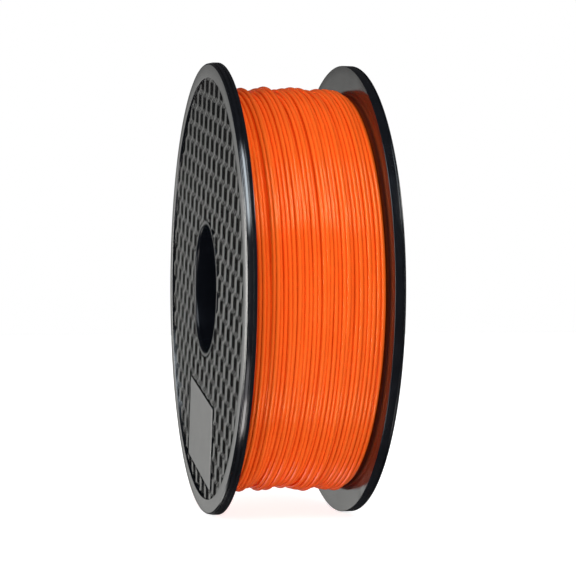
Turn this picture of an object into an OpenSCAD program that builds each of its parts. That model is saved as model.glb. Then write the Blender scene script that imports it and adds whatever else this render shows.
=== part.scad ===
// Filament spool: two flanges snapped onto a ribbed hub, with a full winding.
// The spool's axis lies along X, the middle of its bore is the origin, +Z is up.

/* [Spool] */
// Diameter of both flanges
flange_d = 200; // [180:1:240]
// Width over the outer faces of both rims
spool_w = 65; // [50:0.5:80]
// Thickness of a flange at its rim
rim_t = 4.6; // [4:0.1:6]
// Width of the flat ring round the outer face
rim_w = 6.8; // [4:0.1:10]
// Depth of the outer face inside that ring
recess_h = 1.1; // [0.9:0.05:1.5]
// Radius that rounds the corners of the rim
rim_edge_r = 0.5; // [0.2:0.05:0.6]

/* [Grooves in the rims] */
// Width of each groove
groove_w = 0.6; // [0.4:0.05:0.7]
// Depth of each groove
groove_h = 0.45; // [0.35:0.05:0.6]
// Distance of the first groove's middle from the outer face
groove_1_x = 1; // [0.95:0.05:1.2]
// Distance of the second groove's middle from the outer face, left flange only
groove_2_x = 2.7; // [2.2:0.05:3]

/* [Woven faces] */
// Turn of the left face's weave and blank pad about the spool's axis, degrees
left_turn = 11.5; // [0:0.5:90]
// Turn of the right face's weave about the spool's axis, degrees
right_turn = 40; // [0:0.5:90]
// Sideways step from one row of bars to the next
bar_step = 6; // [5.8:0.1:8]
// Distance between neighbouring rows of bars
row_pitch = 8.05; // [7:0.05:10]
// Length of a bar, upwards
bar_l = 5.4; // [4:0.1:6]
// Width of a bar
bar_w = 5.4; // [4.5:0.1:5.6]
// Width of the slanting links between the bars, measured along a row
link_w = 3; // [2:0.1:4]
// Height of the weave over the floor of the recess
weave_h = 0.5; // [0.3:0.05:0.6]
// Length of the blank pad
pad_l = 58.5; // [40:0.5:64]
// Width of the blank pad
pad_w = 37.5; // [24:0.5:40]
// Distance of the pad's middle from the axis
pad_r = 66; // [60:0.5:68]
// Plain border between the pad and the weave
pad_border = 0.8; // [0.4:0.1:2]

/* [Hub] */
// Bore for the holder's rod
bore_d = 56; // [50:0.5:60]
// Wall of the bore tube
tube_t = 2.4; // [2:0.1:3]
// Radius that rounds the mouths of the bore
mouth_r = 1.8; // [1:0.1:1.9]
// Outside diameter of the drum that the filament is wound on
drum_d = 100; // [94:1:110]
// Wall of the drum
drum_t = 2.4; // [2:0.1:3]
// Number of ribs between the bore tube and the drum
rib_count = 6; // [6:6:12]
// Thickness of the ribs and of the web in the middle
rib_t = 1.6; // [1.2:0.1:2.4]

/* [Snap fit] */
// Number of snap hooks on each flange
hook_count = 6; // [3:3:6]
// Length of a hook inwards from its flange
hook_l = 12; // [10:0.5:16]
// Width of a hook round the axis, degrees
hook_deg = 12; // [8:1:14]
// Thickness of the hooks and of the collar between them
hook_t = 2; // [1.6:0.1:2.4]
// Reach of a hook's nose into its window in the drum
nose_h = 1.4; // [1:0.1:1.6]
// Length of a nose along the axis
nose_l = 3; // [2:0.1:4]
// Length of the collar that centres the drum
collar_l = 4; // [3:0.1:6]
// Gap between parts that slide together
slide_gap = 0.15; // [0.1:0.05:0.3]

/* [Filament] */
// Diameter of the filament
wire_d = 1.75; // [1.5:0.05:2]
// Distance between neighbouring turns
turn_pitch = 1.79; // [1.76:0.01:2.2]
// Diameter over the outer turns
wound_d = 179; // [140:1:184]
// Gap between the winding and each flange
side_gap = 0.25; // [0.1:0.05:0.5]
// How much lower the turns beside the flanges lie than those in the middle
crown_h = 0.6; // [0:0.1:1.5]
// Diameter of the hole that the first turn starts through
start_hole_d = 2.6; // [2.2:0.1:4]
// Length of filament that reaches into the hub through that hole
start_l = 7; // [4:0.5:10]

/* [Hidden] */
$fn = 96;
eps = 0.05;                               // overshoot of a cut
flange_r = flange_d / 2;
recess_r = flange_r - rim_w;
gap_w = spool_w - 2 * rim_t;              // between the flanges' inner faces
plate_t = rim_t - recess_h;               // flange inside its rim
bore_r = bore_d / 2;
tube_r = bore_r + tube_t;
tube_half_l = gap_w / 2 + plate_t + weave_h;  // bore tube ends flush with the weave
hole_r = tube_r + slide_gap;              // hole of a flange round the tube
weave_in_r = hole_r + 0.3;                // plain edge left round that hole
ridge_rows = ceil(flange_r / row_pitch);
ridge_count = ceil((flange_r / bar_step + ridge_rows) / 2);
drum_r = drum_d / 2;
drum_in_r = drum_r - drum_t;
hook_out_r = drum_in_r - slide_gap;       // outside of hooks and collar
hook_in_r = hook_out_r - hook_t;
hook_pitch = 360 / hook_count;
slot_deg = 3;                             // slot on each side of a hook
nose_r = drum_in_r + nose_h;
window_room = 0.5;                        // room for a nose beside and behind its window
window_deg = hook_deg + 2;
rib_half_l = gap_w / 2 - collar_l - 1;    // ribs stop 1 mm short of the collars
turn_w = gap_w - 2 * side_gap;            // width of the winding
turns = floor((turn_w - wire_d) / turn_pitch) + 1;
turn_r = (wound_d - wire_d) / 2;          // line of the highest turns
start_x = -rib_half_l + start_hole_d;     // place of the start hole along the axis
turn_sides = 8;                           // sides of a turn's section, one of them outwards

// Stands a flange, drawn with its inner face at z = 0, on one side of the spool.
module on_side(side)
    translate([side * gap_w / 2, 0, 0]) rotate([90, 0, side * 90]) children();

// Turns a profile, drawn as [radius, place along the axis], about the spool's axis.
module spun_on_x() rotate([0, 90, 0]) rotate_extrude() children();

// A sector of a ring, centred on the local X direction.
module ring_sector(r_in, r_out, deg, h)
    rotate([0, 0, -deg / 2]) rotate_extrude(angle = deg)
        translate([r_in, 0]) square([r_out - r_in, h]);

// A rectangle whose outer two corners are round.
module round_cornered(l, w, r) {
    square([l - r, w]);
    translate([l - 2 * r, r]) square([2 * r, w - 2 * r]);
    for (y = [r, w - r]) translate([l - r, y]) circle(r = r);
}

// Section of a flange: thin plate, thick rim and grooves round the rim's side.
module flange_section(groove_places) {
    difference() {
        translate([hole_r, 0]) round_cornered(flange_r - hole_r, rim_t, rim_edge_r);
        translate([hole_r - eps, plate_t]) square([recess_r - hole_r + eps, recess_h + eps]);
        for (x = groove_places) translate([flange_r, rim_t - x]) {
            translate([groove_w / 2 - groove_h, 0]) circle(d = groove_w);
            translate([groove_w / 2 - groove_h, -groove_w / 2]) square([groove_h, groove_w]);
        }
    }
}

// One edge of a ridge of the weave, from the lowest row upwards: side of a bar, end of the bar,
// side of the link that slants on to the bar of the next row.
function ridge_edge(number, side) = [
    for (j = [-ridge_rows : ridge_rows]) let (x = bar_step * (2 * number + j), y = row_pitch * j)
        each [[x + side * bar_w / 2, y - bar_l / 2], [x + side * bar_w / 2, y + bar_l / 2],
            [x + side * link_w / 2, y + bar_l / 2],
            [x + bar_step + side * link_w / 2, y + row_pitch - bar_l / 2]]];

// The ridges of the weave. Each climbs like a stair, one bar and one slanting link to a row.
module ridges() linear_extrude(weave_h + eps) for (number = [-ridge_count : ridge_count]) {
    left = ridge_edge(number, -1);
    right = ridge_edge(number, 1);
    polygon(concat(left, [for (k = [len(right) - 1 : -1 : 0]) right[k]]));
}

// Woven relief on the floor of a recess. It runs on into the rim, so that no ridge stops short,
// and leaves a plain border round the hub's hole and round the blank pad where there is one.
module weave(has_pad) {
    difference() {
        intersection() {
            translate([0, 0, -eps]) ridges();
            translate([0, 0, -1]) cylinder(r = recess_r + rim_w / 4, h = 2 + weave_h);
        }
        translate([0, 0, -1]) cylinder(r = weave_in_r, h = 2 + weave_h);
        if (has_pad) pad(pad_border, 2 + weave_h, -1);
    }
    if (has_pad) pad(0, weave_h + eps, -eps);
}

// Blank raised pad for a label, or the room for it when it is made larger all round.
module pad(more, h, z)
    translate([-pad_l / 2 - more, -pad_r - pad_w / 2 - more, z])
        cube([pad_l + 2 * more, pad_w + 2 * more, h]);

// Collar that centres the drum, with snap hooks standing in slots between its lengths.
module snap_ring() mirror([0, 0, 1]) for (k = [0 : hook_count - 1])
    rotate([0, 0, k * hook_pitch]) {
        ring_sector(hook_in_r, hook_out_r, hook_deg, hook_l);
        rotate([0, 0, hook_pitch / 2])
            ring_sector(hook_in_r, hook_out_r, hook_pitch - hook_deg - 2 * slot_deg, collar_l);
        rotate([0, 0, -hook_deg / 2]) rotate_extrude(angle = hook_deg) hook_nose();
    }

// Section of a hook's nose: square towards the flange, slanting towards the hook's tip.
module hook_nose() polygon([
    [hook_out_r - eps, hook_l - nose_l], [nose_r, hook_l - nose_l],
    [nose_r, hook_l - nose_l / 2], [hook_out_r - eps, hook_l]]);

module flange(groove_places, turn, has_pad) {
    rotate_extrude() flange_section(groove_places);
    translate([0, 0, plate_t]) rotate([0, 0, turn]) weave(has_pad);
    snap_ring();
}

module left_flange() color([0.13, 0.13, 0.14])
    on_side(-1) flange([groove_1_x, groove_2_x], -left_turn, true);

module right_flange() color([0.13, 0.13, 0.14])
    on_side(1) flange([groove_1_x], right_turn, false);

// Windows in the drum that the noses of one flange's hooks snap into.
module hook_windows(side) on_side(side) for (k = [0 : hook_count - 1])
    rotate([0, 0, k * hook_pitch]) translate([0, 0, -hook_l - window_room])
        ring_sector(drum_in_r - window_room, drum_r + window_room, window_deg,
            nose_l + window_room + slide_gap);

// Section of the hub: bore tube with round mouths, drum, and the web between them.
module hub_section() {
    for (s = [0, 1]) mirror([0, s]) {
        translate([bore_r, 0]) square([tube_t, tube_half_l - mouth_r]);
        translate([bore_r + mouth_r, 0]) square([tube_t - mouth_r, tube_half_l]);
        translate([bore_r + mouth_r, tube_half_l - mouth_r]) circle(r = mouth_r);
    }
    translate([drum_in_r, -gap_w / 2]) square([drum_t, gap_w]);
    translate([tube_r - tube_t / 2, -rib_t / 2]) square([drum_in_r - tube_r + tube_t, rib_t]);
}

// Bore tube, drum, web and ribs in one moulding, with windows for the hooks.
module hub() color([0.08, 0.08, 0.09]) difference() {
    union() {
        spun_on_x() hub_section();
        for (k = [0 : rib_count - 1]) rotate([(k + 0.5) * 360 / rib_count, 0, 0])
            translate([-rib_half_l, -rib_t / 2, tube_r - tube_t / 2])
                cube([2 * rib_half_l, rib_t, drum_in_r - tube_r + tube_t]);
    }
    hook_windows(-1);
    hook_windows(1);
    translate([start_x, 0, drum_in_r - 1]) cylinder(d = start_hole_d, h = drum_t + 2);
}

// Section of the winding: the inner layers in bulk under one row of round turns.
module winding_section() {
    translate([drum_r, -turn_w / 2]) square([turn_r - crown_h - drum_r, turn_w]);
    for (i = [0 : turns - 1]) {
        x = (i - (turns - 1) / 2) * turn_pitch;
        translate([turn_r - crown_h * pow(2 * x / turn_w, 2), x])
            rotate(180 / turn_sides) circle(d = wire_d, $fn = turn_sides);
    }
}

// One long filament: its winding, and its start through the hole in the drum.
module filament_winding() color([0.95, 0.39, 0.1]) {
    spun_on_x() winding_section();
    translate([start_x, 0, drum_r - start_l]) cylinder(d = wire_d, h = start_l + 1);
}

left_flange();
right_flange();
hub();
filament_winding();
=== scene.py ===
# %% [markdown]
# # A full spool of printer filament
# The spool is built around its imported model, which gives every place and size. The spool's
# axis is X, the middle of its bore is the origin, and Z is up. This lesson dresses it: two
# moulded flanges with a woven relief, the glossy bore, and the winding, strand by strand.

# %% Load the frame
import bpy
import math
import numpy as np
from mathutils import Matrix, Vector


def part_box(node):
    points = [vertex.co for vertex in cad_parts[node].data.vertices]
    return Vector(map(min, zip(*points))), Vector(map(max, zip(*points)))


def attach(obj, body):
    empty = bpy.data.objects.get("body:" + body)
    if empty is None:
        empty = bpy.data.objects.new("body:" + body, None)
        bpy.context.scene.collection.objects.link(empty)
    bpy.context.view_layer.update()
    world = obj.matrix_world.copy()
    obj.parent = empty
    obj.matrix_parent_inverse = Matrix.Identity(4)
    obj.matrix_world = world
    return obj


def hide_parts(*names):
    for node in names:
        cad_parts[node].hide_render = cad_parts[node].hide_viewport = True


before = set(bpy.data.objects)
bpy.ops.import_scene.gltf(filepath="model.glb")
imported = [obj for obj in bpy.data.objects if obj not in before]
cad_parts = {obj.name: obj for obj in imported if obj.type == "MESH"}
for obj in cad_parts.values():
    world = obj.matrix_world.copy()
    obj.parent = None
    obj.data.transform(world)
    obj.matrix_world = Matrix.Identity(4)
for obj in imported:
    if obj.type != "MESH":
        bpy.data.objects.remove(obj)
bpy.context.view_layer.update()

# %% [markdown]
# ## Sizes
# Overall sizes are read from the frame, so the dressed spool can't drift away from it. The
# smaller ones are the mould's own and are written once, in metres.

# %% Sizes from the frame and from the mould
MM = 0.001
low, high = (np.array(corner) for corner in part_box("left_flange"))
flange_r = float(high[2])
half_w = -float(low[0])
low, high = (np.array(corner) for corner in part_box("hub"))
tube_half = float(high[0])
rim_t, rim_w, recess_h = 4.6 * MM, 6.8 * MM, 1.1 * MM
tube_in, tube_out, slide_gap = 28 * MM, 30.4 * MM, 0.15 * MM
drum_r, drum_t = 50 * MM, 2.4 * MM
wire_d = 1.75 * MM
inner_x = half_w - rim_t
floor_x = half_w - recess_h
recess_r = flange_r - rim_w
print("flange radius %.1f mm, half width %.2f mm, gap %.1f mm" % (
    flange_r / MM, half_w / MM, 2 * inner_x / MM))

# %% [markdown]
# ## Helpers for surfaces
# Every piece is a grid of points worked out with whole arrays. A grid that closes on itself in
# one or both directions becomes a ring or a torus-like skin. The signed volume of the closed
# skin tells whether its faces look outwards, and flips them when they don't.


# %% Grids, rings and pieces
def grid_quads(rows, columns, close_rows=False, close_columns=False):
    """Quads of a grid whose point (i, j) has number i * columns + j, closed on itself if asked."""
    i = np.arange(rows if close_rows else rows - 1)[:, None]
    j = np.arange(columns if close_columns else columns - 1)[None, :]
    ni, nj = (i + 1) % rows, (j + 1) % columns
    quads = [i * columns + j, ni * columns + j, ni * columns + nj, i * columns + nj]
    return np.stack(np.broadcast_arrays(*quads), axis=-1).reshape(-1, 4)


def facing_out(points, quads):
    """The quads, turned round if the volume they enclose comes out negative."""
    a, b, c, d = (points[quads[:, k]] for k in range(4))
    volume = (np.cross(b - a, c - a) * a).sum() + (np.cross(c - a, d - a) * a).sum()
    return quads if volume > 0 else quads[:, ::-1]


def new_piece(name, points, quads, material, slot, uv=None):
    """A smooth mesh object at the origin from arrays of points and quads, riding on the spool's
    body. uv, where given, holds one pair of numbers per point."""
    mesh = bpy.data.meshes.new(name)
    mesh.vertices.add(len(points))
    mesh.vertices.foreach_set("co", points.astype(np.float32).ravel())
    mesh.loops.add(quads.size)
    mesh.loops.foreach_set("vertex_index", quads.astype(np.int32).ravel())
    mesh.polygons.add(len(quads))
    mesh.polygons.foreach_set("loop_start", np.arange(0, quads.size, 4, dtype=np.int32))
    mesh.update(calc_edges=True)
    mesh.polygons.foreach_set("use_smooth", np.full(len(quads), True))
    if uv is not None:
        layer = mesh.uv_layers.new(name="yarn")
        layer.data.foreach_set("uv", uv[quads.ravel()].astype(np.float32).ravel())
    mesh.validate()
    mesh.materials.append(material)
    piece = bpy.data.objects.new(name, mesh)
    bpy.context.scene.collection.objects.link(piece)
    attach(piece, "root")
    print("%s: %d points, %d quads" % (name, len(points), len(quads)))
    return piece


# %% [markdown]
# ## Helpers for turned pieces
# Discs and hub are bodies of revolution. Such a body starts as a few corners. They are rounded,
# the long sides are cut into even steps, which keeps the quads compact and the highlights clean,
# and the outline is carried round the axis.


# %% Outlines and turned surfaces
def rounded_profile(corners, radii, steps=6):
    """A closed outline with every corner replaced by an arc that touches both its sides.
    The arc runs between the two touching points, each as far from the corner as the radius
    over the tangent of half the corner's angle."""
    corners = np.array(corners, float)
    out = []
    for k, radius in enumerate(radii):
        here = corners[k]
        back = corners[k - 1] - here
        on = corners[(k + 1) % len(corners)] - here
        back, on = back / np.linalg.norm(back), on / np.linalg.norm(on)
        half = 0.5 * math.acos(float(np.clip(back @ on, -1, 1)))
        if radius <= 0:
            out.append(here[None, :])
            continue
        middle = here + (back + on) / np.linalg.norm(back + on) * radius / math.sin(half)
        start = here + back * radius / math.tan(half) - middle
        end = here + on * radius / math.tan(half) - middle
        turn = math.atan2(start[0] * end[1] - start[1] * end[0], start @ end)
        a = np.linspace(0, turn, steps + 1)
        arc = np.stack([start[0] * np.cos(a) - start[1] * np.sin(a),
                        start[0] * np.sin(a) + start[1] * np.cos(a)], axis=1)
        out.append(middle + arc)
    return np.concatenate(out)


def with_even_steps(outline, longest):
    """The closed outline with its long sides cut into steps no longer than asked."""
    following = np.roll(outline, -1, axis=0)
    cuts = np.ceil(np.linalg.norm(following - outline, axis=1) / longest).astype(int)
    parts = [a + (b - a) * np.arange(max(n, 1))[:, None] / max(n, 1)
             for a, b, n in zip(outline, following, cuts)]
    return np.concatenate(parts)


def spun_on_axis(outline, steps):
    """A closed outline of (radius, place along the axis) turned about the X axis:
    x = place, y = radius * cos(angle), z = radius * sin(angle)."""
    angle = np.arange(steps) * 2 * math.pi / steps
    radius, place = outline[:, 0], outline[:, 1]
    points = np.stack(np.broadcast_arrays(
        place[None, :], radius * np.cos(angle)[:, None], radius * np.sin(angle)[:, None]), axis=-1)
    points = points.reshape(-1, 3)
    quads = grid_quads(steps, len(outline), close_rows=True, close_columns=True)
    return points, facing_out(points, quads)


# %% [markdown]
# ## A shared effect: grain
# Flanges and hub are moulded, and the filament is pressed through a nozzle. Such a surface is
# never perfectly even: it carries a slow wave with a fine grain on it. All finishes but the
# weave's use the same grain, so it is one node group, which gives out numbers only.


# %% Node helpers and the group for grain
def link(tree, source, target):
    """Joins an output socket to an input socket."""
    tree.links.new(source, target)


def node(tree, kind, **values):
    """A node of that kind with some of its properties or inputs set by name."""
    made = tree.nodes.new(kind)
    for key, value in values.items():
        if key in made.inputs:
            made.inputs[key].default_value = value
        else:
            setattr(made, key, value)
    return made


def new_group(name, inputs, outputs):
    """An empty shader node group with named float or vector sockets."""
    tree = bpy.data.node_groups.new(name, "ShaderNodeTree")
    kinds = {"f": "NodeSocketFloat", "v": "NodeSocketVector"}
    for label, kind, value in inputs:
        socket = tree.interface.new_socket(label, in_out="INPUT", socket_type=kinds[kind])
        if value is not None:
            socket.default_value = value
    for label, kind in outputs:
        tree.interface.new_socket(label, in_out="OUTPUT", socket_type=kinds[kind])
    return tree, tree.nodes.new("NodeGroupInput"), tree.nodes.new("NodeGroupOutput")


def put_group(tree, group, **values):
    """A node that holds the group, with some of its inputs set by name."""
    made = tree.nodes.new("ShaderNodeGroup")
    made.node_tree = group
    for key, value in values.items():
        made.inputs[key].default_value = value
    return made


def grain_group():
    """Height: a fine noise and a slow one, mixed by the wave's share. Spread: the slow one."""
    tree, ins, outs = new_group(
        "moulded_grain",
        [("Vector", "v", None), ("Grain scale", "f", 2500.0), ("Wave scale", "f", 120.0),
         ("Wave share", "f", 0.5)],
        [("Height", "f"), ("Spread", "f")])
    fine = node(tree, "ShaderNodeTexNoise", Detail=3.0)
    wave = node(tree, "ShaderNodeTexNoise", Detail=2.0)
    link(tree, ins.outputs["Vector"], fine.inputs["Vector"])
    link(tree, ins.outputs["Vector"], wave.inputs["Vector"])
    link(tree, ins.outputs["Grain scale"], fine.inputs["Scale"])
    link(tree, ins.outputs["Wave scale"], wave.inputs["Scale"])
    both = node(tree, "ShaderNodeMix", data_type="FLOAT")
    link(tree, ins.outputs["Wave share"], both.inputs["Factor"])
    link(tree, fine.outputs["Fac"], both.inputs["A"])
    link(tree, wave.outputs["Fac"], both.inputs["B"])
    link(tree, both.outputs["Result"], outs.inputs["Height"])
    link(tree, wave.outputs["Fac"], outs.inputs["Spread"])
    return tree


GRAIN = grain_group()
print("groups:", [g.name for g in bpy.data.node_groups])

# %% [markdown]
# ## Finishes
# Every finish is a Principled shader. Its colour runs between two near values and its roughness
# over a small range, both by a slow noise, so that no highlight is perfectly even.


# %% Helpers for finishes
def start_material(name):
    """A material that holds only a Principled shader and its output."""
    material = bpy.data.materials.new(name)
    material.use_nodes = True
    tree = material.node_tree
    tree.nodes.clear()
    shader = tree.nodes.new("ShaderNodeBsdfPrincipled")
    out = tree.nodes.new("ShaderNodeOutputMaterial")
    link(tree, shader.outputs["BSDF"], out.inputs["Surface"])
    return material, tree, shader


def ranged(tree, noise, low_value, high_value):
    """A noise, which lies between 0.3 and 0.7 nearly everywhere, spread onto another range."""
    spread = node(tree, "ShaderNodeMapRange")
    spread.inputs["From Min"].default_value = 0.3
    spread.inputs["From Max"].default_value = 0.7
    spread.inputs["To Min"].default_value = low_value
    spread.inputs["To Max"].default_value = high_value
    link(tree, noise, spread.inputs["Value"])
    return spread.outputs["Result"]


def two_colours(tree, mask, first, second):
    """The first colour where the mask is 0, the second where it is 1."""
    mixed = node(tree, "ShaderNodeMix", data_type="RGBA")
    mixed.inputs["A"].default_value = (*first, 1)
    mixed.inputs["B"].default_value = (*second, 1)
    link(tree, mask, mixed.inputs["Factor"])
    return mixed.outputs["Result"]


# %% [markdown]
# ## Black plastic
# The plastic is almost black, so what shows is its gloss. The near flange mirrors most. The far
# flange and the bore have less shine, because they would otherwise mirror too much of the room's
# bright parts: the bore has to stay a dark hole with a soft gloss on its wall.


# %% Black plastic
def moulded_plastic(name, blacks, rough, shine):
    """Black moulded plastic: two near blacks, uneven roughness and a grain in the normal."""
    material, tree, shader = start_material(name)
    place = tree.nodes.new("ShaderNodeTexCoord")
    grain = put_group(tree, GRAIN)
    link(tree, place.outputs["Object"], grain.inputs["Vector"])
    link(tree, two_colours(tree, grain.outputs["Spread"], *blacks), shader.inputs["Base Color"])
    link(tree, ranged(tree, grain.outputs["Spread"], *rough), shader.inputs["Roughness"])
    bump = node(tree, "ShaderNodeBump", Strength=1.0, Distance=0.006 * MM)
    link(tree, grain.outputs["Height"], bump.inputs["Height"])
    link(tree, bump.outputs["Normal"], shader.inputs["Normal"])
    shader.inputs["Specular IOR Level"].default_value = shine
    return material


flange_blacks = (0.004, 0.0045, 0.006), (0.008, 0.009, 0.012)
hub_blacks = (0.003, 0.004, 0.006), (0.006, 0.007, 0.010)
rim_plastic = moulded_plastic("rim_plastic", flange_blacks, (0.09, 0.13), 0.5)
far_plastic = moulded_plastic("far_plastic", flange_blacks, (0.14, 0.20), 0.22)
bore_plastic = moulded_plastic("bore_plastic", hub_blacks, (0.14, 0.22), 0.08)
print("black plastics:", rim_plastic.name, far_plastic.name, bore_plastic.name)

# %% [markdown]
# ## The weave's plastic
# The relief has a satin gloss, and fine slanting ribs are pressed into its low parts, like yarns.
# They are too fine for the mesh, so they are a bump. Under them lies a bump as wide as the face:
# it falls with the square of the distance from the axis, like a slight crown, so the gloss
# changes from the middle of the face to its rim.


# %% The weave's plastic
def woven_plastic():
    """The relief's plastic. Its uv holds the place on the face in millimetres, and "between"
    says how far a point is down from a bar or a link. Fine ribs slant across the low parts."""
    material, tree, shader = start_material("woven_plastic")
    yarn = tree.nodes.new("ShaderNodeUVMap")
    yarn.uv_map = "yarn"
    low_part = node(tree, "ShaderNodeAttribute", attribute_name="between")
    ribs = node(tree, "ShaderNodeTexWave", Scale=0.36, Distortion=1.5, Detail=1.0)
    turned = node(tree, "ShaderNodeMapping")
    turned.inputs["Rotation"].default_value = (0, 0, math.radians(62))
    link(tree, yarn.outputs["UV"], turned.inputs["Vector"])
    link(tree, turned.outputs["Vector"], ribs.inputs["Vector"])
    grain = node(tree, "ShaderNodeTexNoise", Scale=0.7, Detail=3.0)
    link(tree, yarn.outputs["UV"], grain.inputs["Vector"])
    link(tree, two_colours(tree, grain.outputs["Fac"], (0.003, 0.003, 0.003),
                           (0.007, 0.007, 0.007)), shader.inputs["Base Color"])
    shader.inputs["Specular IOR Level"].default_value = 0.2
    link(tree, ranged(tree, grain.outputs["Fac"], 0.10, 0.16), shader.inputs["Roughness"])
    ribbed = node(tree, "ShaderNodeMath", operation="MULTIPLY")
    link(tree, ribs.outputs["Fac"], ribbed.inputs[0])
    link(tree, low_part.outputs["Fac"], ribbed.inputs[1])
    fine = node(tree, "ShaderNodeBump", Strength=1.0, Distance=0.07 * MM)
    link(tree, grain.outputs["Fac"], fine.inputs["Height"])
    bump = node(tree, "ShaderNodeBump", Strength=1.0, Distance=0.3 * MM)
    link(tree, ribbed.outputs[0], bump.inputs["Height"])
    link(tree, fine.outputs["Normal"], bump.inputs["Normal"])
    place = tree.nodes.new("ShaderNodeTexCoord")
    flat = node(tree, "ShaderNodeVectorMath", operation="MULTIPLY")
    flat.inputs[1].default_value = (0, 1, 1)
    link(tree, place.outputs["Object"], flat.inputs[0])
    square = node(tree, "ShaderNodeVectorMath", operation="DOT_PRODUCT")
    link(tree, flat.outputs["Vector"], square.inputs[0])
    link(tree, flat.outputs["Vector"], square.inputs[1])
    crown = node(tree, "ShaderNodeBump", Strength=1.0, Distance=0.08, invert=True)
    link(tree, square.outputs["Value"], crown.inputs["Height"])
    link(tree, bump.outputs["Normal"], crown.inputs["Normal"])
    link(tree, crown.outputs["Normal"], shader.inputs["Normal"])
    return material


woven = woven_plastic()
print("the weave's plastic:", woven.name)

# %% [markdown]
# ## The filament's plastic
# The strand is bright and slightly translucent. True scattering is slow to render, and it turns
# the gaps between the strands muddy, so a faint warm glow of painted light stands for the light
# inside them. Its highlights take on some of the plastic's colour.


# %% The filament's plastic
def filament_plastic(name, glow):
    """Bright filament: the colour wanders a little along each turn. The glow is painted light: it
    stands for the light that spreads through the strands, so it is greater in the turns that lie
    deeper."""
    material, tree, shader = start_material(name)
    place = tree.nodes.new("ShaderNodeTexCoord")
    grain = put_group(tree, GRAIN, **{"Grain scale": 1500.0, "Wave scale": 60.0})
    link(tree, place.outputs["Object"], grain.inputs["Vector"])
    link(tree, two_colours(tree, grain.outputs["Spread"], (0.90, 0.116, 0.012),
                           (0.96, 0.150, 0.018)), shader.inputs["Base Color"])
    link(tree, ranged(tree, grain.outputs["Spread"], 0.13, 0.20), shader.inputs["Roughness"])
    shader.inputs["Specular IOR Level"].default_value = 0.22
    shader.inputs["Specular Tint"].default_value = (1.0, 0.72, 0.42, 1)
    shader.inputs["Emission Color"].default_value = (1.0, 0.10, 0.0, 1)
    shader.inputs["Emission Strength"].default_value = glow
    bump = node(tree, "ShaderNodeBump", Strength=1.0, Distance=0.01 * MM)
    link(tree, grain.outputs["Height"], bump.inputs["Height"])
    link(tree, bump.outputs["Normal"], shader.inputs["Normal"])
    return material


# Both finishes carry a painted glow for the light inside the strands, and the deeper turns get more
# of it.
orange = filament_plastic("filament_plastic", 0.012)
deep_painted_glow_plastic = filament_plastic("deep_filament_painted_glow", 0.10)
print("materials:", [m.name for m in bpy.data.materials])

# %% [markdown]
# ## Flange discs
# Each disc is one turned outline: inner face, rounded rim with its grooves, flat ring, and the
# floor of the recess. Turning an outline is the natural way, because the mould was turned too.
# The outer half of the left rim's side tapers a little, which turns it towards the light.

# %% Sizes of the discs
side_taper, taper_w = 0.5 * MM, 2.4 * MM
groove_w, groove_h = 0.6 * MM, 0.5 * MM
left_grooves, right_grooves = (1.0 * MM, 2.7 * MM), (1.0 * MM,)
left_edge_r, right_edge_r, inner_edge_r, recess_edge_r = 0.8 * MM, 0.5 * MM, 0.25 * MM, 0.3 * MM
hole_r = tube_out + slide_gap
sheet_sink = 0.8 * MM
disc_steps, disc_cut = 288, 4 * MM
print("hole of a flange %.2f mm across, recess %.1f mm across" % (2 * hole_r / MM, 2 * recess_r / MM))


# %% Turn the two discs
def flange_outline(groove_places, taper, edge_r):
    """Outline (radius, height over the inner face) with corners rounded, grooves as slots. The
    side's radius falls evenly by the taper over taper_w, up to the outer face. The plate is left
    thinner by the depth that the woven sheet stands in it."""
    plate = rim_t - recess_h - sheet_sink
    corners, radii = [(hole_r, 0), (flange_r, 0)], [0, inner_edge_r]
    for place in sorted(groove_places, reverse=True):
        for step, depth in ((-1, 0), (-1, groove_h), (1, groove_h), (1, 0)):
            edge = place - step * groove_w / 2
            side_r = flange_r - taper * max(1 - edge / taper_w, 0)
            corners.append((side_r - depth, rim_t - edge))
            radii.append(0.45 * groove_w if depth else 0.1 * groove_w)
    corners += [(flange_r - taper, rim_t), (recess_r, rim_t), (recess_r, plate), (hole_r, plate)]
    radii += [edge_r, inner_edge_r, recess_edge_r, 0]
    return with_even_steps(rounded_profile(corners, radii), disc_cut)


def make_disc(name, side, outline, material):
    """The outline, stood off from the middle on its side (-1 left, 1 right) and turned."""
    outline[:, 1] = side * (inner_x + outline[:, 1])
    return new_piece(name, *spun_on_axis(outline, disc_steps), material, "flange")


left_outline = flange_outline(left_grooves, side_taper, left_edge_r)
right_outline = flange_outline(right_grooves, 0, right_edge_r)
left_disc = make_disc("left_flange_disc", -1, left_outline, rim_plastic)
right_disc = make_disc("right_flange_disc", 1, right_outline, far_plastic)
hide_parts("left_flange")
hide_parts("right_flange")

# %% [markdown]
# ## Woven relief
# The floor of each recess is pressed like a coarse weave. Its ridges climb like stairs: an upright
# bar in every row, then a slanting link to the bar of the next row, moved on by half the distance
# between two ridges. A plain grid would blur these edges, so the grid follows the ridges. One
# parameter, v, runs up the face; the other says where a point lies across its ridge, from the
# crest (0) to the valley (1). Bars have a broad flat crest and links a narrow one that leans a
# little to one side, so that it mirrors another part of the room than the bar does. From the
# crest's edge the sides fall straight into the valley.

# %% Sizes of the weave and of the pad in it
bar_step, row_pitch, bar_l = 6.0 * MM, 8.05 * MM, 5.4 * MM
crest_h, lean_h = 0.44 * MM, 0.025 * MM
bar_flat, link_flat, crest_round = 0.28, 0.05, 0.08
left_turn, right_turn = math.radians(-11.5), math.radians(40)
into_tube, into_rim, into_plate = 0.2 * MM, 1.0 * MM, 0.4 * MM
pad_l, pad_w, pad_place = 58.5 * MM, 37.5 * MM, 66 * MM
pad_border, pad_moat, near_axis = 0.2 * MM, 1.5 * MM, 0.1 * MM
row_count = math.ceil(flange_r / row_pitch)
ridge_count = math.ceil((flange_r / bar_step + row_count) / 2) + 1
print("rows %d, ridges %d on each side of the middle" % (row_count, ridge_count))


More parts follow.
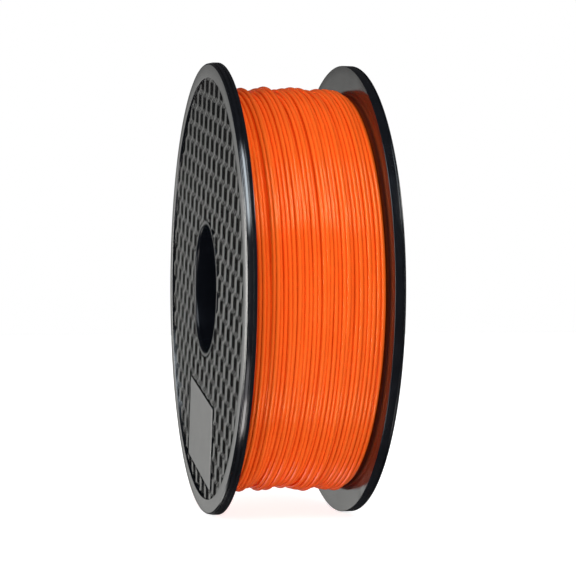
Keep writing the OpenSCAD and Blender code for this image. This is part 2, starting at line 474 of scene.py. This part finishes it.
# %% The grid that follows the ridges
def smooth_step(low_value, high_value, value):
    """0 below the first limit, 1 above the second, and 3t*t - 2t*t*t between them."""
    t = np.clip((value - low_value) / (high_value - low_value), 0, 1)
    return t * t * (3 - 2 * t)


def stair_grid():
    """Grid lines. Across a ridge: the sign of the side, the share of the crest passed (0 to 1)
    and then the share of the side. Up a row: v, closer together where a bar turns into a link."""
    on_crest = np.array([0, 0.93, 1, 1, 1, 1, 1])
    on_side = np.array([0, 0, 0.045, 0.09, 0.35, 0.7, 1])
    sign = np.concatenate([-np.ones(6), np.ones(7)])
    order = np.concatenate([np.arange(6, 0, -1), np.arange(7)])
    in_row = np.array([-0.5, -0.43, -0.375, -0.34, -0.3, 0, 0.3, 0.34, 0.375, 0.43])
    rows = np.arange(-row_count, row_count + 1)
    v = row_pitch * (rows[:, None] + in_row[None, :]).ravel()
    ridges = np.arange(-ridge_count, ridge_count + 1)
    return ridges, sign, on_crest[order], on_side[order], v


def weave_points():
    """u, v, height over the middle level, and lowness, on the grid that follows the ridges. The
    middle of a ridge is u = bar_step * (2 * ridge + row) along a bar, and moves evenly by one
    bar_step over a link. The height is crest_h * (1 - 2 * fall), where the fall runs from 0 on the
    crest to 1 in the valley as a hyperbola that is straight but for its rounded start. Lowness is
    0 on a crest, 0.3 beside a bar and 1 beside a link."""
    ridges, sign, crest, side, v = stair_grid()
    row = v / row_pitch
    base = np.round(row)
    away = row - base
    straight = bar_l / row_pitch / 2
    ramp = np.clip((np.abs(away) - straight) / (0.5 - straight), 0, 1)
    stair = base + 0.5 * np.sign(away) * ramp
    flat = bar_flat + (link_flat - bar_flat) * smooth_step(0.0, 0.5, ramp)
    share = flat[None, :] * crest[:-1, None] + (1 - flat[None, :]) * side[:-1, None]
    across = sign[:-1, None] * share
    u = bar_step * (2 * ridges[:, None, None] + across[None] + stair[None, None, :])
    start = crest_round
    fall = (np.sqrt(side ** 2 + start ** 2) - start) / (math.sqrt(1 + start ** 2) - start)
    leaning = (sign * crest * (1 - side))[:-1, None] * smooth_step(0.0, 0.5, ramp)[None, :]
    height = crest_h * (1 - 2 * fall[:-1, None]) - lean_h * leaning
    u = u.reshape(-1, len(v))
    height = np.tile(height, (len(ridges), 1))
    lowness = np.tile(smooth_step(0.02, 0.2, side[:-1, None])
                      * (0.3 + 0.7 * smooth_step(0.0, 0.3, ramp))[None, :], (len(ridges), 1))
    return u, np.broadcast_to(v, u.shape), height, lowness


# %% [markdown]
# ## Cut the weave to its face
# The field of ridges is larger than the face. Quads that touch the face are kept, and their
# points beyond it are pulled onto two circles, one inside the tube's wall and one inside the
# rim's, where nobody sees the edge. The sheet is then closed below, because a real relief is
# solid and an open sheet would let light through.


# %% Make the two weaves
def closed_below(points, quads, bottom):
    """The sheet, a flat copy of it at x = bottom, and walls along its border. An edge is on the
    border when no quad runs along it in the other direction."""
    n = len(points)
    base = points.copy()
    base[:, 0] = bottom
    edges = np.concatenate([quads[:, [k, (k + 1) % 4]] for k in range(4)])
    border = edges[~np.isin(edges[:, 1] * n + edges[:, 0], edges[:, 0] * n + edges[:, 1])]
    walls = np.stack([border[:, 1], border[:, 0], border[:, 0] + n, border[:, 1] + n], axis=1)
    return np.concatenate([points, base]), np.concatenate([quads, quads[:, ::-1] + n, walls])


def make_weave(name, side, turn, with_pad):
    """A closed slab: the woven top over a flat bottom that is sunk into the disc. Round the pad
    the weave sinks to its lowest level, between pad_moat and pad_border. A point (u, v) is turned
    about the axis and, if it lies beyond the face, pulled onto the nearer circle."""
    u, v, height, lowness = weave_points()
    if with_pad:
        outside = np.maximum(np.abs(u) - pad_l / 2, np.abs(v + pad_place) - pad_w / 2)
        height = -crest_h + (height + crest_h) * smooth_step(pad_border, pad_moat, outside)
    radius = np.hypot(u, v)
    inner, outer = tube_out - into_tube, recess_r + into_rim
    wanted = (radius > inner) & (radius < outer)
    quads = grid_quads(*u.shape)
    quads = quads[wanted.ravel()[quads].any(axis=1)]
    pull = np.clip(radius, inner, outer) / np.maximum(radius, near_axis)
    c, s = math.cos(turn), math.sin(turn)
    across, up = c * u - s * v, s * u + c * v
    points = np.stack([side * (floor_x + height), side * across * pull, up * pull], -1)
    used, numbers = np.unique(quads, return_inverse=True)
    points, lowness = points.reshape(-1, 3)[used], lowness.ravel()[used]
    uv = np.stack([u, v], -1).reshape(-1, 2)[used] / MM
    bottom = side * (floor_x - sheet_sink - into_plate)
    points, quads = closed_below(points, numbers.reshape(quads.shape), bottom)
    piece = new_piece(name, points, facing_out(points, quads), woven, "flange",
                      uv=np.concatenate([uv, uv]))
    layer = piece.data.attributes.new("between", "FLOAT", "POINT")
    layer.data.foreach_set("value", np.concatenate([lowness, lowness]).astype(np.float32))
    return piece


make_weave("left_weave", -1, left_turn, True)
make_weave("right_weave", 1, right_turn, False)

# %% [markdown]
# ## Blank pad
# A raised rectangle stands in the weave, bare, with softly rounded edges. It is lofted through
# smaller and smaller outlines, from a line in the middle of its back to one in the middle of its
# face, where a weld closes it.

# %% Sizes of the pad
pad_h, pad_edge_r, pad_corner_r, pad_sink = 0.5 * MM, 0.35 * MM, 0.9 * MM, 1.0 * MM
pad_rim, corner_steps = 0.15 * MM, 6
no_size, weld_reach = 1e-7, 1e-6
print("pad %.1f by %.1f mm, %.1f mm high" % (pad_l / MM, pad_w / MM, pad_h / MM))


# %% Loft the pad
def make_pad():
    """Rings of points, each a rounded rectangle of its own inset and height over the recess
    floor. Round the edge, inset = r * (1 - cos(t)) and height = pad_h - r * (1 - sin(t))."""
    turn = np.linspace(0, math.pi / 2, 6)
    arc = [(pad_edge_r * (1 - math.cos(t)), pad_h - pad_edge_r * (1 - math.sin(t))) for t in turn]
    deep = pad_w / 2
    levels = [(deep, -pad_sink), (0.0, -pad_sink), *arc, (pad_edge_r + pad_rim, pad_h),
              (deep, pad_h)]
    rings = []
    for inset, height in levels:
        l, w = pad_l / 2 - inset, pad_w / 2 - inset
        if w < weld_reach:
            outline = np.repeat([(-l, 0), (l, 0), (l, 0), (-l, 0)], corner_steps + 1, axis=0)
        else:
            outline = rounded_profile([(-l, -w), (l, -w), (l, w), (-l, w)],
                                      [max(pad_corner_r - inset, no_size)] * 4, corner_steps)
        rings.append(np.column_stack([outline, np.full(len(outline), height)]))
    rings = np.array(rings)
    u, v = rings[..., 0], rings[..., 1] - pad_place
    c, s = math.cos(left_turn), math.sin(left_turn)
    points = np.stack([-(floor_x + rings[..., 2]), -(c * u - s * v), s * u + c * v], -1)
    points = points.reshape(-1, 3)
    quads = grid_quads(*rings.shape[:2], close_columns=True)
    piece = new_piece("left_pad", points, facing_out(points, quads), rim_plastic, "flange")
    piece.modifiers.new("close", "WELD").merge_threshold = weld_reach


make_pad()

# %% [markdown]
# ## Bore tube and drum
# The hub is one moulding, but only its bore and its round mouths can be seen, so the outline of
# tube, web and drum is turned like the discs.

# %% Turn the hub
mouth_r, tube_edge_r = 1.4 * MM, 0.3 * MM
drum_in, half_web = drum_r - drum_t, 0.8 * MM
hub_steps, hub_cut, mouth_steps = 192, 6 * MM, 10
hub_corners = [
    (tube_in, -tube_half), (tube_out, -tube_half), (tube_out, -half_web), (drum_in, -half_web),
    (drum_in, -inner_x), (drum_r, -inner_x), (drum_r, inner_x), (drum_in, inner_x),
    (drum_in, half_web), (tube_out, half_web), (tube_out, tube_half), (tube_in, tube_half)]
hub_radii = [mouth_r, tube_edge_r, *[0] * 8, tube_edge_r, mouth_r]
hub_outline = with_even_steps(rounded_profile(hub_corners, hub_radii, mouth_steps), hub_cut)
hub_points, hub_quads = spun_on_axis(hub_outline, hub_steps)
hub_piece = new_piece("bore_tube_and_drum", hub_points, hub_quads, bore_plastic, "hub")
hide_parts("hub")

# %% [markdown]
# ## Winding
# The filament is one strand, so each layer is one long coil that runs from flange to flange and
# wanders a little as the winder guides it. A turn rests on whatever lies under it: over another
# turn at a sideways distance s, its middle lies sqrt(d * d - s * s) higher, d being its diameter.
# Where turns part, the next one sinks between them, and where they crowd, one climbs. Such a
# rule gives the crossings and gaps of a real winding, which no regular pattern would.

# %% Sizes of the winding
rng = np.random.default_rng(7)
steps_round, layer_count = 200, 5
side_gap, slack_w = 0.25 * MM, 9 * MM
turn_w = 2 * inner_x - 2 * side_gap
turn_room = (turn_w - wire_d) / 2
crowding, highest_climb = 0.985, 0.95
layer_turns = int(2 * turn_room / (crowding * wire_d))
slow_wander, quick_wander = (0.15 * MM, 83), (0.05 * MM, 31)
lowest_r = 86.7 * MM - 4.2 * wire_d
print("%d turns in a layer, the first layer rests at %.1f mm" % (layer_turns, lowest_r / MM))


# %% How a turn wanders and what it rests on
def path_noise(count, size, span):
    """Smooth noise along a path: random heights every span steps, joined by 3f*f - 2f*f*f."""
    heights = rng.normal(0, 1, count // span + 3)
    place = np.arange(count) / span
    cell = place.astype(int)
    f = place - cell
    f = f * f * (3 - 2 * f)
    return size * (heights[cell] * (1 - f) + heights[cell + 1] * f)


def resting_radius(x, under_x, under_r, beside, lowest):
    """Radius of one turn from the turns below it, then from the two laid just before it, which
    it climbs only where it would cut into them, and by less than its own diameter."""
    reach = np.sqrt(np.clip(wire_d ** 2 - (x - under_x) ** 2, 0, None))
    r = np.maximum(np.where(reach > 0, under_r + reach, 0).max(axis=0), lowest)
    most = r + highest_climb * wire_d
    for other_x, other_r in beside:
        reach = np.sqrt(np.clip(wire_d ** 2 - (x - other_x) ** 2, 0, None))
        r = np.where(np.abs(r - other_r) < reach, other_r + reach, r)
    return np.minimum(r, most)


# %% [markdown]
# ## Slack
# The winder didn't fill the space evenly: the turns lie lower beside the left flange, above all
# at the top of the spool, and higher beside the right one. One function holds this slack, and
# every layer and the core below them follow it.


# %% How much lower the turns lie
def slack(x, angle):
    """How much lower a turn lies, in metres: by a narrow and a wide share beside the left flange,
    both greatest at the top of the spool, less what it lies higher beside the right one. Each
    share fades out as 1 - (3t*t - 2t*t*t) away from its flange. The numbers are millimetres."""
    near = 1 - smooth_step(0, slack_w, x + turn_w / 2)
    wide = 1 - smooth_step(0, 3.5 * slack_w, x + turn_w / 2)
    high = 1 - smooth_step(0, slack_w, turn_w / 2 - x)
    top = np.sin(angle)
    return (near * (0.6 + 0.8 * top) + wide * (0.5 + 0.6 * top) - 1.6 * high) * MM


# %% [markdown]
# ## Lay the layers
# Five layers are laid, one on the other and to and fro, so that the upper ones get their
# unevenness from those below. The first one rests on nothing but the lowest radius. A strand is
# stiff, so each path is smoothed along itself at last.


# %% Lay the turns
def lay_layer(under_x, under_r, lowest, forward):
    """One coil from flange to flange: place along the axis and radius, turn by turn. The place
    is x = (2t - 1) * turn_room plus two noises, t being the share of the coil laid. The radius is
    smoothed along the strand by a bell curve, exp(-n*n / (2 * width * width)), n in steps."""
    count = layer_turns * steps_round
    along = np.arange(count) / count
    x = (2 * along - 1) * turn_room
    x = x + path_noise(count, *slow_wander) + path_noise(count, *quick_wander)
    x = np.clip(x, -turn_room, turn_room) * (1 if forward else -1)
    x = x.reshape(layer_turns, steps_round)
    angle = np.arange(steps_round) * 2 * math.pi / steps_round
    r = np.zeros_like(x)
    for k in range(layer_turns):
        beside = [(x[n], r[n]) for n in range(max(k - 2, 0), k)]
        r[k] = resting_radius(x[k], under_x, under_r, beside, lowest - slack(x[k], angle))
    reach, width = 8, 3.5
    bell = np.exp(-0.5 * (np.arange(-reach, reach + 1) / width) ** 2)
    path = np.pad(r.ravel(), reach, mode="edge")
    return x, np.convolve(path, bell / bell.sum(), "valid").reshape(r.shape)


layers = []
nowhere_near = 1.0
under = np.full((1, steps_round), nowhere_near), np.zeros((1, steps_round))
for number in range(layer_count):
    layers.append(lay_layer(*under, lowest_r, number % 2 == 0))
    under = layers[-1]
for x, r in layers:
    print("layer radius (mm): %.2f to %.2f, mean %.2f" % (r.min() / MM, r.max() / MM, r.mean() / MM))

# %% [markdown]
# ## Strands and core
# Only the two upper layers show between the strands, so these are drawn, each as one long tube.
# A plain ring in the deeper turns' plastic, with its stronger painted glow, stands for everything
# below, and follows the same slack.


# %% Draw the upper layers
def make_coil(name, x, r, sides, material):
    """A round tube along a coil: at each step a circle that stands across the strand, with
    place = x + d/2 * cos(b) and radius = r + d/2 * sin(b), b running round the strand. The ends
    shrink to a point, which a weld closes."""
    x, r = x.ravel(), r.ravel()
    turn = np.arange(len(x)) * 2 * math.pi / steps_round
    thick = np.full(len(x), wire_d / 2)
    thick[[0, -1]] = 0
    around = np.arange(sides) * 2 * math.pi / sides
    place = x[:, None] + thick[:, None] * np.cos(around)
    radius = r[:, None] + thick[:, None] * np.sin(around)
    a = turn[:, None]
    points = np.stack([place, radius * np.cos(a), radius * np.sin(a)], -1).reshape(-1, 3)
    quads = grid_quads(len(x), sides, close_columns=True)
    piece = new_piece(name, points, facing_out(points, quads), material, "filament")
    piece.modifiers.new("close", "WELD").merge_threshold = weld_reach
    return piece


outer_sides, second_sides = 12, 10
outer_turns = make_coil("outer_turns", *layers[-1], outer_sides, orange)
make_coil("second_turns", *layers[-2], second_sides, deep_painted_glow_plastic)
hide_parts("filament_winding")


# %% Draw the core
def make_core():
    """A ring from the drum to just inside the second turns. Its outer points are moved towards
    the axis by the slack: (y, z) times 1 - slack / radius."""
    core_r = float(layers[-2][1].mean()) - 0.3 * wire_d
    half, core_cut, core_steps = turn_w / 2, 5 * MM, 128
    corners = np.array([(drum_r, -half), (core_r, -half), (core_r, half), (drum_r, half)])
    points, quads = spun_on_axis(with_even_steps(corners, core_cut), core_steps)
    radius = np.hypot(points[:, 1], points[:, 2])
    drop = slack(points[:, 0], np.arctan2(points[:, 2], points[:, 1])) * (radius > 0.9 * core_r)
    points[:, 1:] *= (1 - drop / radius)[:, None]
    new_piece("inner_turns", points, quads, deep_painted_glow_plastic, "filament")


make_core()

# %% [markdown]
# ## Floor
# The spool stands on a plain pale floor that runs into a pale backdrop. A faint glow brings it
# near white for the camera, and a weaker one lights the spool from below. Glossy surfaces see
# through it, because they mirror the parts of the room that the next step sets out.

# %% Floor
floor_z, floor_half = -flange_r, 3.0
floor_glow, floor_fill = 0.86, 0.6


def make_floor():
    """One large quad under the rims, with a glow that differs by the kind of ray."""
    half = floor_half
    points = [(-half, -half, floor_z), (half, -half, floor_z),
              (half, half, floor_z), (-half, half, floor_z)]
    mesh = bpy.data.meshes.new("floor")
    mesh.from_pydata(points, [], [(0, 1, 2, 3)])
    floor = bpy.data.objects.new("floor", mesh)
    bpy.context.scene.collection.objects.link(floor)
    material, tree, shader = start_material("pale_floor")
    shader.inputs["Base Color"].default_value = (0.6, 0.6, 0.6, 1)
    shader.inputs["Roughness"].default_value = 0.9
    shader.inputs["Specular IOR Level"].default_value = 0.1
    path = tree.nodes.new("ShaderNodeLightPath")
    glow = node(tree, "ShaderNodeMix", data_type="FLOAT")
    glow.inputs["A"].default_value = floor_fill
    glow.inputs["B"].default_value = floor_glow
    link(tree, path.outputs["Is Camera Ray"], glow.inputs["Factor"])
    shader.inputs["Emission Color"].default_value = (1, 1, 1, 1)
    link(tree, glow.outputs["Result"], shader.inputs["Emission Strength"])
    clear = tree.nodes.new("ShaderNodeBsdfTransparent")
    mixed = tree.nodes.new("ShaderNodeMixShader")
    link(tree, path.outputs["Is Glossy Ray"], mixed.inputs[0])
    link(tree, shader.outputs["BSDF"], mixed.inputs[1])
    link(tree, clear.outputs["BSDF"], mixed.inputs[2])
    out = next(n for n in tree.nodes if n.type == "OUTPUT_MATERIAL")
    link(tree, mixed.outputs["Shader"], out.inputs["Surface"])
    mesh.materials.append(material)


make_floor()
print("floor %.2f m wide at z = %.3f m" % (2 * floor_half, floor_z))

# %% [markdown]
# ## The room
# Polished black plastic shows its shape only through what it mirrors, so a studio sets white
# boards and dark gaps round it with care. Here the world does this: to the camera it is white, to
# matt surfaces an even soft light, and to glossy ones a dark room with a few lit parts. The back
# wall's parts show the flat faces, the front ones draw the highlights on rim and strands, and
# those at the sides pick out the round edges. The left one leaves out its middle, so the face
# doesn't flare when it is seen straight on.

# %% Lit parts of the room
# Strength and colour, then the edges that bound the part. Each edge names an axis of the
# direction, where the light begins along it, and where it reaches its full strength.
lit_parts = (
    # The back wall, which the flat faces of the near flange mirror.
    (0.66, (1.0, 1.0, 0.97), (("X", -0.34, -0.19), ("X", -0.04, -0.19), ("Y", 0.3, 0.5),
                              ("Z", -0.30, -0.17), ("Z", 0.28, 0.0))),
    # High in front on the left: the long cool highlight on the near rim.
    (14.0, (0.84, 0.93, 1.0), (("X", 0.0, -0.12), ("X", -0.8, -0.6), ("Y", -0.1, -0.3),
                               ("Z", 0.40, 0.62), ("Z", 0.97, 0.90))),
    # High in front on the right: the band of highlights across the strands.
    (26.0, (1.0, 0.97, 0.92), (("X", 0.42, 0.52), ("X", 0.9, 0.8), ("Y", -0.1, -0.3),
                               ("Z", 0.46, 0.52), ("Z", 0.68, 0.62))),
    # A brighter stretch of the back wall, which the leaning links mirror.
    (1.6, (1.0, 1.0, 0.97), (("X", -0.34, -0.31), ("X", -0.23, -0.27), ("Y", 0.4, 0.6),
                             ("Z", -0.30, -0.20), ("Z", 0.25, 0.0))),
    # Low at the back, for the lower slopes of the weave.
    (3.2, (1.0, 1.0, 0.97), (("X", -0.52, -0.44), ("X", -0.28, -0.34), ("Y", 0.4, 0.5),
                             ("Z", -0.72, -0.64), ("Z", -0.38, -0.46))),
    # Low in front: the undersides of rims and strands, with a brighter part near the floor.
    (2.4, (0.97, 0.95, 1.0), (("X", 0.0, -0.12), ("Y", -0.05, -0.2), ("Z", -0.50, -0.66),
                              ("Z", -0.98, -0.94))),
    (9.0, (1.0, 0.97, 0.95), (("X", 0.12, 0.0), ("Y", -0.05, -0.2), ("Z", -0.78, -0.85),
                              ("Z", -0.98, -0.94))),
    # The right side, dim.
    (0.7, (1.0, 1.0, 1.0), (("X", 0.8, 0.95),)),
    # The left side in two halves, for the thin line along the near rim's edge, and its dim middle.
    (26.0, (1.0, 0.99, 0.95), (("X", -0.84, -0.92), ("Y", -0.12, -0.17))),
    (26.0, (1.0, 0.99, 0.95), (("X", -0.84, -0.92), ("Y", 0.12, 0.17))),
    (1.5, (1.0, 0.99, 0.95), (("X", -0.92, -0.97),)),
)
dark_room, soft_light = 0.03, 0.43
print("lit parts of the room:", len(lit_parts))


# %% The world
def edge_mask(tree, source, start, end):
    """0 at the start, 1 at the end and beyond it, whichever of the two is the greater."""
    step = node(tree, "ShaderNodeMapRange", interpolation_type="SMOOTHSTEP")
    step.inputs["From Min"].default_value = min(start, end)
    step.inputs["From Max"].default_value = max(start, end)
    step.inputs["To Min"].default_value = 0.0 if start < end else 1.0
    step.inputs["To Max"].default_value = 1.0 if start < end else 0.0
    link(tree, source, step.inputs["Value"])
    return step.outputs["Result"]


def make_world():
    """White to the camera. What glossy surfaces mirror is a dim room with a few lit parts; what
    lights matt surfaces is even and soft."""
    world = bpy.data.worlds.new("studio")
    bpy.context.scene.world = world
    world.use_nodes = True
    tree = world.node_tree
    tree.nodes.clear()
    out = tree.nodes.new("ShaderNodeOutputWorld")
    place = tree.nodes.new("ShaderNodeTexCoord")
    split = tree.nodes.new("ShaderNodeSeparateXYZ")
    link(tree, place.outputs["Generated"], split.inputs["Vector"])
    mirrored = None
    for strength, colour, edges in lit_parts:
        mask = None
        for axis, start, end in edges:
            step = edge_mask(tree, split.outputs[axis], start, end)
            if mask is not None:
                both = node(tree, "ShaderNodeMath", operation="MULTIPLY")
                link(tree, mask, both.inputs[0])
                link(tree, step, both.inputs[1])
                step = both.outputs[0]
            mask = step
        lit = two_colours(tree, mask, [dark_room] * 3, [strength * part for part in colour])
        if mirrored is not None:
            most = node(tree, "ShaderNodeMix", data_type="RGBA", blend_type="LIGHTEN")
            most.inputs["Factor"].default_value = 1.0
            link(tree, mirrored, most.inputs["A"])
            link(tree, lit, most.inputs["B"])
            lit = most.outputs["Result"]
        mirrored = lit
    path = tree.nodes.new("ShaderNodeLightPath")
    indirect = node(tree, "ShaderNodeMix", data_type="RGBA")
    indirect.inputs["A"].default_value = (*[soft_light] * 3, 1)
    link(tree, path.outputs["Is Glossy Ray"], indirect.inputs["Factor"])
    link(tree, mirrored, indirect.inputs["B"])
    plain_white = node(tree, "ShaderNodeMath", operation="MAXIMUM")
    link(tree, path.outputs["Is Camera Ray"], plain_white.inputs[0])
    link(tree, path.outputs["Is Transmission Ray"], plain_white.inputs[1])
    seen = node(tree, "ShaderNodeMix", data_type="RGBA")
    seen.inputs["B"].default_value = (1, 1, 1, 1)
    link(tree, plain_white.outputs[0], seen.inputs["Factor"])
    link(tree, indirect.outputs["Result"], seen.inputs["A"])
    glow = tree.nodes.new("ShaderNodeBackground")
    glow.inputs["Strength"].default_value = 1.0
    link(tree, seen.outputs["Result"], glow.inputs["Color"])
    link(tree, glow.outputs["Background"], out.inputs["Surface"])


make_world()

# %% [markdown]
# ## Lamps
# Two large soft lamps, one high in front and one at the left, give the orange its light and
# shade. They are hidden from glossy surfaces, whose highlights are set by the room alone.


# %% Lamps
def soft_lamp(name, place, target, size, power):
    """A rectangular soft lamp at a place, turned to face a target. It lights matt surfaces only;
    what glossy ones mirror comes from the world."""
    data = bpy.data.lights.new(name, "AREA")
    data.shape = "RECTANGLE"
    data.size, data.size_y = size
    data.energy = power
    lamp = bpy.data.objects.new(name, data)
    bpy.context.scene.collection.objects.link(lamp)
    lamp.location = place
    lamp.rotation_euler = (Vector(target) - Vector(place)).to_track_quat("-Z", "Y").to_euler()
    lamp.visible_glossy = False
    print("lamp %s: %.1f W" % (name, power))


soft_lamp("key", (0.0, -0.95, 0.85), (0, 0, 0), (0.9, 0.5), 8)
soft_lamp("left", (-1.2, -0.5, 0.4), (0, 0, 0), (0.7, 0.7), 4.5)

# %% [markdown]
# ## Camera
# It looks at the winding almost square on, turned just enough to see the left face, from the
# height of the axis. The lens is given by its focal length in pixels of the finished view.

# %% Camera
camera_turn = math.radians(-11.89)
camera_away = 0.804
aim = np.array([0.006, 0.0, 0.0003])
sensor_mm, focal_px, view_px = 36.0, 1791.4, 576
data = bpy.data.cameras.new("camera")
data.sensor_width = sensor_mm
data.lens = sensor_mm * focal_px / view_px
camera = bpy.data.objects.new("camera", data)
bpy.context.scene.collection.objects.link(camera)
spot = np.array([math.sin(camera_turn), -math.cos(camera_turn), 0.0]) * camera_away
camera.location = spot.tolist()
camera.rotation_euler = Vector((aim - spot).tolist()).to_track_quat("-Z", "Y").to_euler()
bpy.context.scene.camera = camera
bpy.context.scene.view_settings.view_transform = "Standard"
print("lens %.1f mm, %.3f m away" % (data.lens, camera_away))
